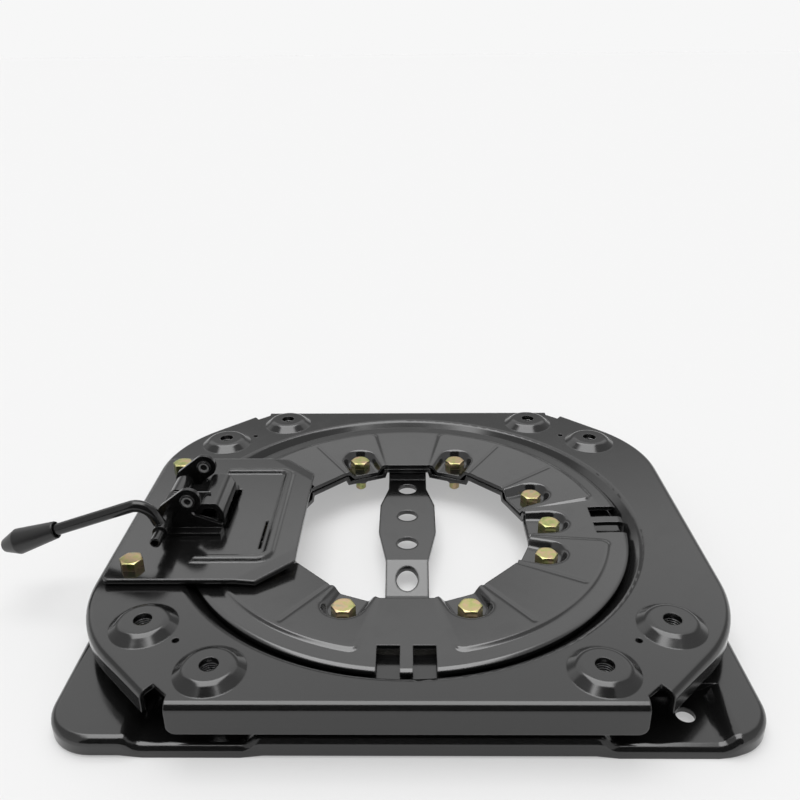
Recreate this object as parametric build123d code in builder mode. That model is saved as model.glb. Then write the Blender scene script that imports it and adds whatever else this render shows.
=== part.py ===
"""Swivel base for a camper seat: a pressed base plate bolted to the floor or the seat box, a swivel
plate that carries the seat and turns on it, and a lever that drops a toothed pawl into slots.

Millimetres, +Z up. The origin is on the turning axis, level with the faces that the seat rests on,
in the middle of the seat bolts.
+X is the vehicle's right when the lever is on the left, and -Y is the front.
"""
import os
from math import atan2, cos, degrees, radians, sin, sqrt, tan

from build123d import *

os.makedirs("parts", exist_ok=True)

# Sheet metal
sheet = 3.0                  # thickness of every pressed plate
bend = 1.5                   # inside radius of the bends
gap = 0.3                    # running gap between pieces that move past each other
fit = 0.05                   # radial clearance of shafts and screws in their holes

# Base plate
base_width = 386.0
base_depth = 352.0
base_corner = 28.0           # corner radius seen from above
base_rise = 12.0             # top of the raised areas above the floor
pocket_top = 7.0             # top of the low pockets that hold the floor bolts
pocket_roll = 12.0           # width of the curve that leads down into a pocket
pocket_reach = 41.0          # from the front or back edge to the pocket's inner wall
pocket_width = 51.0
pocket_left = -112.0         # middle of the two pockets on the lever's side
pocket_right = 135.5         # middle of the other two
skirt_lift = 1.6             # the skirt stops short of the floor between the pockets
collar_step = 1.0            # the collar's inner edge shows below the disc's
floor_hole_left = -126.0
floor_hole_right = 150.0
floor_hole_depth = 306.0     # front to back between the floor bolts
floor_hole_d = 10.5

# Swivel plate
plate_width = 387.0
plate_depth = 354.0
plate_height = 36.0          # height of its upper face above the floor
plate_diagonal = 216.0       # from the axis to the corner faces, which run at 45 degrees
plate_corner = 95.0          # radius that joins a corner face to the side
plate_bend = 4.5             # outside radius of the turned-down edge
front_flange = 18.7          # drop of the front and back flanges
side_flange = 12.5           # drop of the side and corner flanges
flange_corner = 5.0
notch_front = 6.0            # relief notch where two flanges meet: along the front edge,
notch_side = 12.0            # along the corner face,
notch_depth = 16.0           # and into the plate
recess_rim = 158.0           # radius where the plate dips
recess_foot = 148.0          # radius where the dip ends
locating_hole_d = 4.0
locating_hole_x = 128.5
locating_hole_y = 128.0

# Seat bolts: raised bosses in four pairs with weld nuts below
seat_side_x = 300.0          # spacing of the outer four
seat_side_y = 231.0
seat_end_x = 208.0           # spacing of the inner four
seat_end_y = 304.0
boss_d = 39.5
boss_flat = 27.0
boss_rise = 4.6
boss_round = 6.0             # radius of the boss's upper edge
seat_hole_d = 10.5
seat_nut_af = 17.0
seat_nut_h = 8.0

# Retainer disc
disc_outer = 150.0
disc_inner = 86.0            # to the corners of its sixteen-sided inner edge
disc_dish = 2.6              # inner edge below the rim
disc_drop = 2.0              # rim below the swivel plate's upper face
sector_rise = 1.5            # pressed-up sectors above the rim at their outer end
sector_lip = 0.4             # and at the inner edge
sector_outer = 138.0
sector_corner = 6.0
crease_width = 1.4
crease_depth = 0.5
segment = 22.5               # the disc is divided in sixteen
lock_angles = (-90, 0, 180)  # where the pawl can drop in: front, right and left
slot_width = 12.9
slot_gap = 7.2
slot_inner = 129.0

# Disc screws in pressed-down pads that open to the centre
bolt_circle = 99.3
bolt_angles = (0, 22.5, 67.5, 112.5, 157.5, 180, -157.5, -112.5, -67.5, -22.5)
bolt_d = 8.0
bolt_af = 13.0
bolt_head = 5.3
bolt_length = 20.0
bolt_hole = 9.0
nut_h = 6.5
pad_radius = 11.0            # at the pad's floor
pad_depth = 7.3              # below the rim
pad_slope = 20.0             # lean of the pad's wall, in degrees

# Bearing
ball_d = 4.5
ball_count = 20
ball_circle = 136.5
cage_width = 13.0
cage_thick = 2.0
annulus_inner = 125.0        # inner edge of the swivel plate's recessed ring
glide_flange = 4.0           # how far the glide ring reaches over that edge
recess_depth = 9.6           # swivel plate's upper face to its recessed ring

# Centre strap
strap_level = 17.0           # top of its flat part above the floor
strap_wide = 41.0
strap_back = 29.5
strap_front = 29.0
strap_end = 106.0            # where it ends under the base plate's collar
strap_step = 6.0             # length of the step at the back
strap_bend_y = -24.0         # where the front part starts to fall
strap_fall = 33.0            # its slope, in degrees
strap_foot = 17.0            # length of the level foot at the front
strap_holes = (71.0, 32.0, -4.0, -35.6)
strap_hole_d = 14.5

# Lock plate
lock_outer = -187.0          # left edge
lock_inner = -71.0           # right edge, over the central opening
lock_half = 78.7             # half its depth
lock_spacer = 1.6
lock_corner = 4.0
lock_cut = 22.0              # diagonal cut of the two inner corners
facet_width = 9.0
facet_drop = 1.3
lock_bolt_x = -172.4
lock_bolt_y = 63.4
spacer_d = 16.0
bead_y = 57.0
bead_x = -88.5
bead_start = -137.0
bead_width = 7.5
bead_height = 2.4
slit_x = -95.5
slit_y = -29.0
slit_length = 34.0
slit_width = 1.6
window_outer = -150.0
window_inner = -120.6
window_half = 21.5
window_tail = 9.0            # the window's inner end reaches past the back wall

# Latch
wall_gap = 44.0              # between the inner faces of the two walls
pivot_x = -157.5             # lever shaft
pivot_rise = 13.4            # above the lock plate
post_x = -144.4              # rivets in the upper lobes
post_rise = 23.6
lobe_radius = 8.2
wall_left = -166.0
wall_right = -123.3
wall_toe = 5.1
wall_shoulder = 12.9
wall_shoulder_x = -142.4
rivet_d = 6.0
rivet_head_d = 10.0
rivet_head_h = 2.2
rivet_tail = 3.0
wall_foot = 7.0              # width of a wall's foot on the lock plate
shaft_d = 7.0
shaft_front = -59.5
shaft_back = 29.0
shaft_bore = 4.5             # hollow front end
shaft_bore_depth = 6.0
clip_d = 14.0
clip_thick = 1.2

# Pawl
pawl_thick = 4.0
pawl_half = 20.4
pawl_lift = 0.5              # teeth above the sectors when the lever is held down
tooth_radius = 131.0         # middle of the teeth, from the turning axis
tooth_length = 5.5
tooth_play = 0.35            # between a tooth and the side of its slot
knuckle_front = -4.0
knuckle_back = 16.0
knuckle_wall = 3.0
neck_x = -146.0
pawl_foot_x = -141.0         # where the sheet starts to rise, and its height above the lock plate
pawl_foot_rise = 11.4
arch_left = -136.5
arch_right = -127.8
arch_rise = 16.6
arch_face = -124.6           # the face towards the middle, its top and its knee
arch_shoulder = 11.0
pawl_knee = 6.0

# Lever
lever_y = -42.0
rod_d = 7.8
hub_d = 10.0
hub_length = 12.0
rod_rise = 19.5              # from the shaft to the rod's bend
rod_lean = 8.5
rod_bend = 12.0
rod_end_x = -256.0           # end of the rod, inside the grip
rod_fall = 18.7              # slope of the outer part, in degrees
grip_start_x = -226.5
grip_length = 39.0
grip_d = 14.0
grip_tip_d = 10.5
grip_taper = 7.0
grip_ring = 0.8              # raised edge where the grip starts

# Spring on the shaft
wire_d = 1.6
coil_d = 12.4                # middle of the wire
coil_turns = 5
coil_pitch = 2.4
coil_front = -20.0
leg_reach = 24.0

# Levels that follow from the sizes above
plate_top = -boss_rise
floor = plate_top - plate_height
disc_rim_top = plate_top - disc_drop
disc_rim_under = disc_rim_top - sheet
sector_top = disc_rim_top + sector_rise
pad_top = disc_rim_top - pad_depth
pad_under = pad_top - sheet
dish_slope = disc_dish / (sector_outer - disc_inner)
annulus_top = plate_top - recess_depth
annulus_under = annulus_top - sheet
race_top = annulus_under - ball_d - 0.2
lock_under = plate_top + lock_spacer
lock_top = lock_under + sheet
pivot_z = lock_top + pivot_rise
post_z = lock_top + post_rise
wall_outside = wall_gap / 2 + sheet

# Walls that lean: how far an offset of one sheet moves the foot of a tapered wall
pad_lean = tan(radians(pad_slope))
pad_grow = sheet / cos(radians(pad_slope)) - sheet * pad_lean

# Radii round the bearing
cup_radius = pad_radius + pad_grow + gap + pad_grow
collar_radius = bolt_circle + cup_radius + (disc_rim_under - pad_under + sheet) * pad_lean + 1.0
collar_lift = 0.2            # paint and flatness between the collar and the disc
glide_inner = collar_radius + gap
race_outer = recess_foot


def dished(radius, rim):
    """Height at a radius of a face that is dished like the disc, given its height at the rim."""
    return rim - max(0.0, sector_outer - radius) * dish_slope


def polar(radius, angle):
    """Point at a radius and an angle round the turning axis."""
    return (radius * cos(radians(angle)), radius * sin(radians(angle)))


def ring(inner, outer, bottom, top):
    """Flat ring round the turning axis."""
    with BuildPart() as body:
        with BuildSketch(Plane.XY.offset(bottom)):
            Circle(outer)
            Circle(inner, mode=Mode.SUBTRACT)
        extrude(amount=top - bottom)
    return body.part


def turned(points):
    """Solid turned round the Z axis from a closed outline of (radius, height) points."""
    with BuildPart() as body:
        with BuildSketch(Plane.XZ):
            with BuildLine():
                Polyline(*points, close=True)
            make_face()
        revolve(axis=Axis.Z)
    return body.part


def hex_head(across_flats, bottom, height, bore=0.0):
    """Hexagon for a screw head or a nut, with its upper corners turned off."""
    across_corners = across_flats / cos(radians(30))
    bevel = (across_corners - across_flats) / 2
    with BuildPart() as body:
        with BuildSketch(Plane.XY.offset(bottom)):
            RegularPolygon(across_corners / 2, 6)
            if bore:
                Circle(bore / 2, mode=Mode.SUBTRACT)
        extrude(amount=height)
        with BuildSketch(Plane.XZ):
            with BuildLine():
                Polyline(
                    (0, bottom),
                    (across_corners / 2 + bevel, bottom),
                    (across_corners / 2 + bevel, bottom + height - bevel),
                    (across_flats / 2 - bevel / 2, bottom + height),
                    (0, bottom + height),
                    close=True,
                )
            make_face()
        revolve(axis=Axis.Z, mode=Mode.INTERSECT)
    return body.part


def hex_screw(seat):
    """Screw with its head standing on a given level."""
    with BuildPart() as screw:
        add(hex_head(bolt_af, seat, bolt_head))
        with BuildSketch(Plane.XY.offset(seat)):
            Circle(bolt_d / 2)
        extrude(amount=-bolt_length)
        chamfer(screw.faces().sort_by(Axis.Z)[0].edges(), bolt_d / 8)
    return screw.part


def pad_form(level, radius, height):
    """Solid of one pressed-down pad at angle 0: a leaning U that is open to the centre."""
    with BuildPart() as form:
        with BuildSketch(Plane.XY.offset(level)):
            with Locations((bolt_circle, 0)):
                Circle(radius)
            with Locations((bolt_circle / 2, 0)):
                Rectangle(bolt_circle, 2 * radius)
        extrude(amount=height, taper=-pad_slope)
    return form.part


def plate_form(inset, bottom):
    """Solid octagon of the swivel plate, set in from its outer faces."""
    half_width = plate_width / 2 - inset
    half_depth = plate_depth / 2 - inset
    diagonal = (plate_diagonal - inset) * sqrt(2)
    with BuildPart() as form:
        with BuildSketch(Plane.XY.offset(bottom)):
            with BuildLine():
                Polyline(
                    (half_width, diagonal - half_width),
                    (diagonal - half_depth, half_depth),
                    (half_depth - diagonal, half_depth),
                    (-half_width, diagonal - half_width),
                    (-half_width, half_width - diagonal),
                    (half_depth - diagonal, -half_depth),
                    (diagonal - half_depth, -half_depth),
                    (half_width, half_width - diagonal),
                    close=True,
                )
            outline = make_face()
            sides = outline.vertices().filter_by(lambda v: abs(v.X) > half_width - 1)
            fillet(sides, plate_corner - inset)
        extrude(amount=plate_top - inset - bottom)
        fillet(form.faces().sort_by(Axis.Z)[-1].edges(), plate_bend - inset)
    return form.part


def boss_form():
    """Raised seat-bolt boss as a dished sheet, with its middle on the Z axis."""
    rise = atan2(boss_rise, (boss_d - boss_flat) / 2)
    shift = sheet * tan(rise / 2)
    foot, flat, hole = boss_d / 2, boss_flat / 2, seat_hole_d / 2
    with BuildPart() as boss:
        with BuildSketch(Plane.XZ):
            with BuildLine():
                Polyline(
                    (foot + 0.5, plate_top),
                    (foot, plate_top),
                    (flat, plate_top + boss_rise),
                    (hole, plate_top + boss_rise),
                    (hole, plate_top + boss_rise - sheet),
                    (flat - shift, plate_top + boss_rise - sheet),
                    (foot - shift, plate_top - sheet),
                    (foot + 0.5, plate_top - sheet),
                    close=True,
                )
            face = make_face()
            fillet(face.vertices().sort_by(Axis.Y)[-2:].sort_by(Axis.X)[-1], boss_round)
            fillet(face.vertices().filter_by(lambda v: abs(v.X - flat + shift) < 0.1), boss_round - sheet)
        revolve(axis=Axis.Z)
    return boss.part


def on_outline(edge, inset):
    """Whether an edge lies in the outer walls of the base plate's slab."""
    middle = edge.position_at(0.5)
    reach_x = abs(middle.X) - base_width / 2 + base_corner
    reach_y = abs(middle.Y) - base_depth / 2 + base_corner
    return sqrt(max(reach_x, 0) ** 2 + max(reach_y, 0) ** 2) > base_corner - inset - 0.01


def base_slab(inset):
    """Rounded slab of the base plate, dipped at the pockets, with one rolled edge all round."""
    high = floor + base_rise - inset
    low = floor + pocket_top - inset
    with BuildPart() as slab:
        with BuildSketch(Plane.XY.offset(floor)):
            RectangleRounded(base_width - 2 * inset, base_depth - 2 * inset, base_corner - inset)
        extrude(amount=high - floor)
        for side in (-1, 1):
            with BuildSketch(Plane.XZ.offset(side * (base_depth / 2 - pocket_reach - inset))):
                for middle in (pocket_left, pocket_right):
                    start, end = middle - pocket_width / 2, middle + pocket_width / 2
                    with BuildLine():
                        Spline((start - pocket_roll, high), (start, low), tangents=[(1, 0), (1, 0)])
                        Line((start, low), (end, low))
                        Spline((end, low), (end + pocket_roll, high), tangents=[(1, 0), (1, 0)])
                        Polyline(
                            (end + pocket_roll, high),
                            (end + pocket_roll, high + sheet),
                            (start - pocket_roll, high + sheet),
                            (start - pocket_roll, high),
                        )
                    make_face()
            extrude(amount=side * (pocket_reach + base_corner), mode=Mode.SUBTRACT)
        rim = slab.edges().filter_by(lambda e: e.position_at(0.5).Z > low - 0.1 and on_outline(e, inset))
        fillet(rim.filter_by(Axis.Z, reverse=True), bend + sheet - inset)
    return slab.part


def base_form(inset):
    """Solid under one face of the base plate: the upper face, or the lower one set in by a sheet."""
    slope = atan2(race_top - floor - base_rise, sheet * 3)
    shift = inset * tan(slope / 2)
    under_disc = disc_rim_under - collar_lift - inset
    with BuildPart() as form:
        add(base_slab(inset))
        add(
            turned(
                [
                    (0, floor),
                    (race_outer + 3 * sheet - shift, floor),
                    (race_outer + 3 * sheet - shift, floor + base_rise - inset),
                    (race_outer - shift, race_top - inset),
                    (collar_radius + 1.5 - inset, race_top - inset),
                    (collar_radius - inset, dished(collar_radius - inset, under_disc)),
                    (0, dished(0, under_disc)),
                ]
            )
        )
    return form.part


# Base plate: a pressed pan with low pockets, a ball race and a raised collar with pads for the disc
collar_edge = dished(disc_inner, disc_rim_under - collar_lift)
base_cup = pad_form(pad_under - sheet, cup_radius, collar_edge - pad_under + sheet - 0.5)
with BuildPart() as hollow:
    add(base_form(sheet))
    for angle in bolt_angles:
        add(base_cup.rotate(Axis.Z, angle), mode=Mode.SUBTRACT)
with BuildPart() as base_plate:
    add(base_form(0.0))
    add(hollow.part, mode=Mode.SUBTRACT)
    seat_pad = pad_form(pad_under, pad_radius + pad_grow + gap, pad_depth)
    for angle in bolt_angles:
        add(seat_pad.rotate(Axis.Z, angle), mode=Mode.SUBTRACT)
    with BuildSketch(Plane.XY.offset(floor)):
        RegularPolygon(disc_inner - collar_step, 16, rotation=segment / 2)
        with Locations(*[polar(bolt_circle, angle) for angle in bolt_angles]):
            Circle(bolt_hole / 2)
        for x in (floor_hole_left, floor_hole_right):
            with Locations((x, -floor_hole_depth / 2), (x, floor_hole_depth / 2)):
                Circle(floor_hole_d / 2)
    extrude(amount=plate_height, mode=Mode.SUBTRACT)
    with BuildSketch(Plane.XZ):
        bottom = floor - sheet
        lifted = floor + skirt_lift
        corners = [(-base_width, bottom), (-base_width, lifted)]
        for middle in (pocket_left, pocket_right):
            start, end = middle - pocket_width / 2, middle + pocket_width / 2
            corners += [(start - pocket_roll, lifted), (start, floor)]
            corners += [(end, floor), (end + pocket_roll, lifted)]
        corners += [(base_width, lifted), (base_width, bottom)]
        with BuildLine():
            Polyline(*corners, close=True)
        make_face()
    extrude(amount=base_depth, both=True, mode=Mode.SUBTRACT)
base_plate.part.label = "base_plate"
export_step(base_plate.part, "parts/base_plate.step")

# Retainer disc: dished, with pressed-up sectors between four tongues, slots for the pawl and screw pads
disc_edge = dished(disc_inner, disc_rim_top)
disc_core = disc_inner - 5
core_top = dished(disc_core, disc_rim_top)
with BuildSketch() as sector_plan:
    Circle(sector_outer)
    Circle(disc_core, mode=Mode.SUBTRACT)
    for quarter in range(4):
        with BuildLine():
            Polyline(
                (0, 0),
                polar(2 * disc_outer, quarter * 90 - segment / 2),
                polar(2 * disc_outer, quarter * 90 + segment / 2),
                close=True,
            )
        make_face(mode=Mode.SUBTRACT)
    outside = sector_plan.vertices().filter_by(lambda v: sqrt(v.X**2 + v.Y**2) > disc_inner)
    fillet(outside, sector_corner)


def sector_block(top, inset):
    """Sectors as solid blocks from under the disc up to a dished face."""
    with BuildPart() as block:
        add(
            turned(
                [
                    (disc_core, disc_rim_under - sheet),
                    (sector_outer, disc_rim_under - sheet),
                    (sector_outer, top + sector_rise),
                    (disc_core, top - disc_rim_top + core_top + sector_lip),
                ]
            )
        )
        with BuildSketch(Plane.XY.offset(disc_rim_under - sheet)):
            add(sector_plan.sketch)
            if inset:
                offset(amount=-inset, mode=Mode.REPLACE)
        extrude(amount=plate_height, mode=Mode.INTERSECT)
    return block.part


with BuildPart() as retainer_disc:
    add(
        turned(
            [
                (disc_core, core_top - sheet),
                (sector_outer, disc_rim_under),
                (disc_outer, disc_rim_under),
                (disc_outer, disc_rim_top),
                (sector_outer, disc_rim_top),
                (disc_core, core_top),
            ]
        )
    )
    with BuildPart(mode=Mode.PRIVATE) as raised:
        add(sector_block(disc_rim_top, 0.0))
        add(
            turned(
                [
                    (disc_core - 1, floor),
                    (sector_outer + 1, floor),
                    (sector_outer + 1, disc_rim_under),
                    (disc_core - 1, core_top - sheet),
                ]
            ),
            mode=Mode.SUBTRACT,
        )
    add(raised.part)
    add(sector_block(disc_rim_under, sheet / 2), mode=Mode.SUBTRACT)
    pad_cup = pad_form(pad_under, pad_radius + pad_grow, disc_edge - 0.5 - pad_under)
    pad_pocket = pad_form(pad_top, pad_radius, plate_top - pad_top)
    for angle in bolt_angles:
        add(pad_cup.rotate(Axis.Z, angle))
    for angle in bolt_angles:
        add(pad_pocket.rotate(Axis.Z, angle), mode=Mode.SUBTRACT)
    with BuildSketch(Plane.XY.offset(disc_rim_under)):
        for angle in lock_angles:
            for side in (-1, 1):
                with Locations(Location((0, 0, 0), (0, 0, angle))):
                    with Locations(((slot_inner + disc_outer + 10) / 2, side * (slot_gap + slot_width) / 2)):
                        Rectangle(disc_outer + 10 - slot_inner, slot_width)
    extrude(amount=2 * sheet, both=True, mode=Mode.SUBTRACT)
    with BuildSketch(Plane.XY.offset(pad_under)):
        RegularPolygon(disc_inner, 16, rotation=segment / 2)
        with Locations(*[polar(bolt_circle, angle) for angle in bolt_angles]):
            Circle(bolt_hole / 2)
    extrude(amount=plate_height, mode=Mode.SUBTRACT)
    for quarter in range(4):
        for turn in (1.5, 2.5):
            angle = quarter * 90 + turn * segment
            crease = Plane(
                origin=(*polar(disc_inner, angle), disc_edge + sector_lip),
                x_dir=(*polar(1, angle), (sector_rise - sector_lip) / (sector_outer - disc_inner) + dish_slope),
                z_dir=(*polar(-dish_slope, angle), 1),
            )
            with BuildSketch(crease):
                with Locations(((sector_outer - disc_inner) / 2, 0)):
                    Rectangle(sector_outer - disc_inner - 8, crease_width)
            extrude(amount=crease_depth, both=True, mode=Mode.SUBTRACT)
retainer_disc.part.label = "retainer_disc"
export_step(retainer_disc.part, "parts/retainer_disc.step")

# Screws that hold the disc to the base plate, and the weld nuts they go into
with BuildPart() as disc_bolts:
    with Locations(*[polar(bolt_circle, angle) for angle in bolt_angles]):
        add(hex_screw(pad_top))
disc_bolts.part.label = "disc_bolts"
export_step(disc_bolts.part, "parts/disc_bolts.step")

with BuildPart() as disc_nuts:
    with Locations(*[polar(bolt_circle, angle) for angle in bolt_angles]):
        add(hex_head(bolt_af, pad_under - sheet - nut_h, nut_h, bolt_d + 2 * fit))
disc_nuts.part.label = "disc_nuts"
export_step(disc_nuts.part, "parts/disc_nuts.step")

# Centre strap: welded under the collar at the back, cranked, and stepped down to the floor at the front
strap_middle = floor + strap_level - sheet / 2
strap_low = floor + sheet / 2 + gap
strap_foot_y = strap_bend_y - (strap_middle - strap_low) / tan(radians(strap_fall))
weld_level = disc_rim_under - collar_lift - 1.5 * sheet
with BuildPart() as centre_strap:
    with BuildSketch(Plane.YZ):
        with BuildLine():
            FilletPolyline(
                (strap_end, dished(strap_end, weld_level)),
                (disc_inner + strap_step, dished(disc_inner + strap_step, weld_level)),
                (disc_inner, strap_middle),
                (strap_bend_y, strap_middle),
                (strap_foot_y, strap_low),
                (strap_foot_y - strap_foot, strap_low),
                radius=bend + sheet / 2,
            )
        trace(line_width=sheet)
    extrude(amount=strap_wide, both=True)
    with BuildSketch(Plane.XY.offset(floor)):
        with BuildLine():
            right = FilletPolyline(
                (0, strap_foot_y - strap_foot),
                (strap_front / 2, strap_foot_y - strap_foot),
                (strap_front / 2, strap_bend_y),
                (strap_wide / 2, strap_holes[2] + strap_hole_d),
                (strap_wide / 2, strap_holes[1] + strap_hole_d),
                (strap_back / 2, strap_holes[0]),
                (strap_back / 2, strap_end),
                (0, strap_end),
                radius=5,
            )
            mirror(right, about=Plane.YZ)
        make_face()
        with Locations(*[(0, y) for y in strap_holes]):
            Circle(strap_hole_d / 2, mode=Mode.SUBTRACT)
    extrude(amount=plate_height, mode=Mode.INTERSECT)
centre_strap.part.label = "centre_strap"
export_step(centre_strap.part, "parts/centre_strap.step")

# Ball bearing between the base plate's race and the swivel plate's recessed ring
ball_level = (race_top + annulus_under) / 2
with BuildPart() as bearing_balls:
    with PolarLocations(ball_circle, ball_count):
        with Locations((0, 0, ball_level)):
            Sphere(ball_d / 2)
bearing_balls.part.label = "bearing_balls"
export_step(bearing_balls.part, "parts/bearing_balls.step")

with BuildPart() as ball_cage:
    with BuildSketch(Plane.XY.offset(ball_level - cage_thick / 2)):
        Circle(ball_circle + cage_width / 2)
        Circle(ball_circle - cage_width / 2, mode=Mode.SUBTRACT)
        with PolarLocations(ball_circle, ball_count):
            Circle(ball_d / 2 + fit, mode=Mode.SUBTRACT)
    extrude(amount=cage_thick)
ball_cage.part.label = "ball_cage"
export_step(ball_cage.part, "parts/ball_cage.step")

# Glide ring: lines the swivel plate's inner edge and runs on the collar and under the disc
with BuildPart() as glide_ring:
    add(
        turned(
            [
                (glide_inner + 1.5, race_top + gap),
                (annulus_inner - fit, race_top + gap),
                (annulus_inner - fit, annulus_top),
                (annulus_inner + glide_flange, annulus_top),
                (annulus_inner + glide_flange, dished(glide_inner, disc_rim_under) - gap),
                (glide_inner + 1.5, dished(glide_inner, disc_rim_under) - gap),
            ]
        )
    )
glide_ring.part.label = "glide_ring"
export_step(glide_ring.part, "parts/glide_ring.step")

# Swivel plate: octagonal pan with a dished ring in the middle and bosses for the seat bolts
seat_points = [(x * seat_side_x / 2, y * seat_side_y / 2) for x in (-1, 1) for y in (-1, 1)]
seat_points += [(x * seat_end_x / 2, y * seat_end_y / 2) for x in (-1, 1) for y in (-1, 1)]
dip = atan2(recess_depth, recess_rim - recess_foot)
dip_shift = sheet * tan(dip / 2)
notch_x = plate_diagonal * sqrt(2) - plate_depth / 2
flange_bottom = plate_top - front_flange
lock_bolt_points = [(lock_bolt_x, -lock_bolt_y), (lock_bolt_x, lock_bolt_y)]
with BuildPart() as swivel_plate:
    add(plate_form(0.0, flange_bottom))
    add(plate_form(sheet, flange_bottom), mode=Mode.SUBTRACT)
    with BuildSketch(Plane.XY.offset(flange_bottom)):
        Rectangle(plate_width + 10, plate_depth - 2 * sheet - 2)
    extrude(amount=front_flange - side_flange, mode=Mode.SUBTRACT)
    with BuildSketch(Plane.XY.offset(flange_bottom)):
        with BuildLine():
            Polyline(
                (notch_x - notch_front, plate_depth / 2 + 5),
                (notch_x - notch_front, plate_depth / 2 - notch_depth / 2),
                (notch_x + notch_side / 4, plate_depth / 2 - notch_depth),
                (notch_x + notch_side / sqrt(2), plate_depth / 2 - notch_side / sqrt(2)),
                (notch_x + notch_side + 5, plate_depth / 2 + 5),
                close=True,
            )
        make_face()
        mirror(about=Plane.YZ)
        mirror(about=Plane.XZ)
    extrude(amount=front_flange, mode=Mode.SUBTRACT)
    ends = swivel_plate.edges().filter_by(Axis.Y).group_by(Axis.Z)[0]
    fillet(ends, flange_corner)
    with BuildSketch(Plane.XY.offset(plate_top - sheet)):
        Circle(recess_rim + 2)
        with Locations(*seat_points):
            Circle(boss_d / 2)
        with Locations(*lock_bolt_points):
            Circle(bolt_hole / 2)
        for x in (-locating_hole_x, locating_hole_x):
            with Locations((x, -locating_hole_y), (x, locating_hole_y)):
                Circle(locating_hole_d / 2)
    extrude(amount=sheet, mode=Mode.SUBTRACT)
    with BuildSketch(Plane.XZ):
        with BuildLine():
            Polyline(
                (recess_rim + 4, plate_top),
                (recess_rim, plate_top),
                (recess_foot, annulus_top),
                (annulus_inner, annulus_top),
                (annulus_inner, annulus_under),
                (recess_foot + dip_shift, annulus_under),
                (recess_rim + dip_shift, plate_top - sheet),
                (recess_rim + 4, plate_top - sheet),
                close=True,
            )
        dish = make_face()
        fillet(dish.vertices().filter_by(lambda v: abs(v.X - recess_rim) < 0.1), bend + sheet)
        fillet(dish.vertices().filter_by(lambda v: abs(v.X - recess_foot) < 0.1), bend)
    revolve(axis=Axis.Z)
    with Locations(*seat_points):
        add(boss_form())
swivel_plate.part.label = "swivel_plate"
export_step(swivel_plate.part, "parts/swivel_plate.step")

# Weld nuts in the bosses
boss_under = plate_top + boss_rise - sheet
with BuildPart() as seat_nuts:
    with Locations(*seat_points):
        add(hex_head(seat_nut_af, boss_under - seat_nut_h, seat_nut_h, seat_hole_d))
seat_nuts.part.label = "seat_nuts"
export_step(seat_nuts.part, "parts/seat_nuts.step")

# Lock plate: lies on spacers across the swivel plate and reaches over the disc
facet_start = lock_cut + facet_width * sqrt(2)
with BuildPart() as facet:
    slant = Plane(
        origin=(lock_inner, lock_half - facet_start, lock_under),
        x_dir=(1, 1, 0),
        z_dir=(1, -1, 0),
    )
    with BuildSketch(slant):
        with BuildLine():
            Polyline(
                (0, 0),
                (facet_width, -facet_drop),
                (facet_width, sheet - facet_drop),
                (0, sheet),
                close=True,
            )
        make_face()
    extrude(amount=-facet_start * sqrt(2))
with BuildPart() as lock_plate:
    with BuildSketch(Plane.XY.offset(lock_under)):
        with BuildLine():
            Polyline(
                (lock_outer, -lock_half),
                (lock_inner - facet_start, -lock_half),
                (lock_inner, facet_start - lock_half),
                (lock_inner, lock_half - facet_start),
                (lock_inner - facet_start, lock_half),
                (lock_outer, lock_half),
                close=True,
            )
        outline = make_face()
        fillet(outline.vertices().filter_by(lambda v: v.X < lock_outer + 1), lock_corner)
    extrude(amount=sheet)
    add(facet.part)
    mirror(facet.part, about=Plane.XZ)
    with BuildSketch(Plane.XY.offset(lock_under - facet_drop)):
        with Locations(((lock_outer + lock_inner) / 2, 0)):
            Rectangle(lock_inner - lock_outer, 2 * lock_half)
    extrude(amount=2 * sheet, mode=Mode.INTERSECT)
    with BuildSketch(Plane.XY.offset(lock_top)):
        with BuildLine():
            FilletPolyline(
                (bead_start, -bead_y),
                (bead_x, -bead_y),
                (bead_x, bead_y),
                (bead_start, bead_y),
                radius=bead_width,
            )
        trace(line_width=bead_width)
    extrude(amount=bead_height, taper=40)
    with BuildSketch(Plane.XY.offset(lock_under)):
        with BuildLine():
            FilletPolyline(
                (bead_start + sheet, -bead_y),
                (bead_x, -bead_y),
                (bead_x, bead_y),
                (bead_start + sheet, bead_y),
                radius=bead_width,
            )
        trace(line_width=bead_width / 2)
    extrude(amount=bead_height, taper=20, mode=Mode.SUBTRACT)
    with BuildSketch(Plane.XY.offset(lock_under)):
        with Locations(((window_outer + window_inner) / 2, 0)):
            Rectangle(window_inner - window_outer, 2 * window_half)
        with Locations((window_inner, window_half)):
            Rectangle(2 * window_tail, 2 * window_tail, align=(Align.MAX, Align.CENTER))
        with Locations((slit_x, slit_y)):
            SlotOverall(slit_length, slit_width, rotation=90)
        with Locations(*lock_bolt_points):
            Circle(bolt_hole / 2)
    extrude(amount=2 * sheet, mode=Mode.SUBTRACT)
lock_plate.part.label = "lock_plate"
export_step(lock_plate.part, "parts/lock_plate.step")

# Screws, spacers and weld nuts of the lock plate
with BuildPart() as lock_plate_bolts:
    with Locations(*lock_bolt_points):
        add(hex_screw(lock_top))
lock_plate_bolts.part.label = "lock_plate_bolts"
export_step(lock_plate_bolts.part, "parts/lock_plate_bolts.step")

with BuildPart() as lock_plate_spacers:
    with BuildSketch(Plane.XY.offset(plate_top)):
        with Locations(*lock_bolt_points):
            Circle(spacer_d / 2)
            Circle(bolt_hole / 2, mode=Mode.SUBTRACT)
    extrude(amount=lock_spacer)
lock_plate_spacers.part.label = "lock_plate_spacers"
export_step(lock_plate_spacers.part, "parts/lock_plate_spacers.step")

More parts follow.
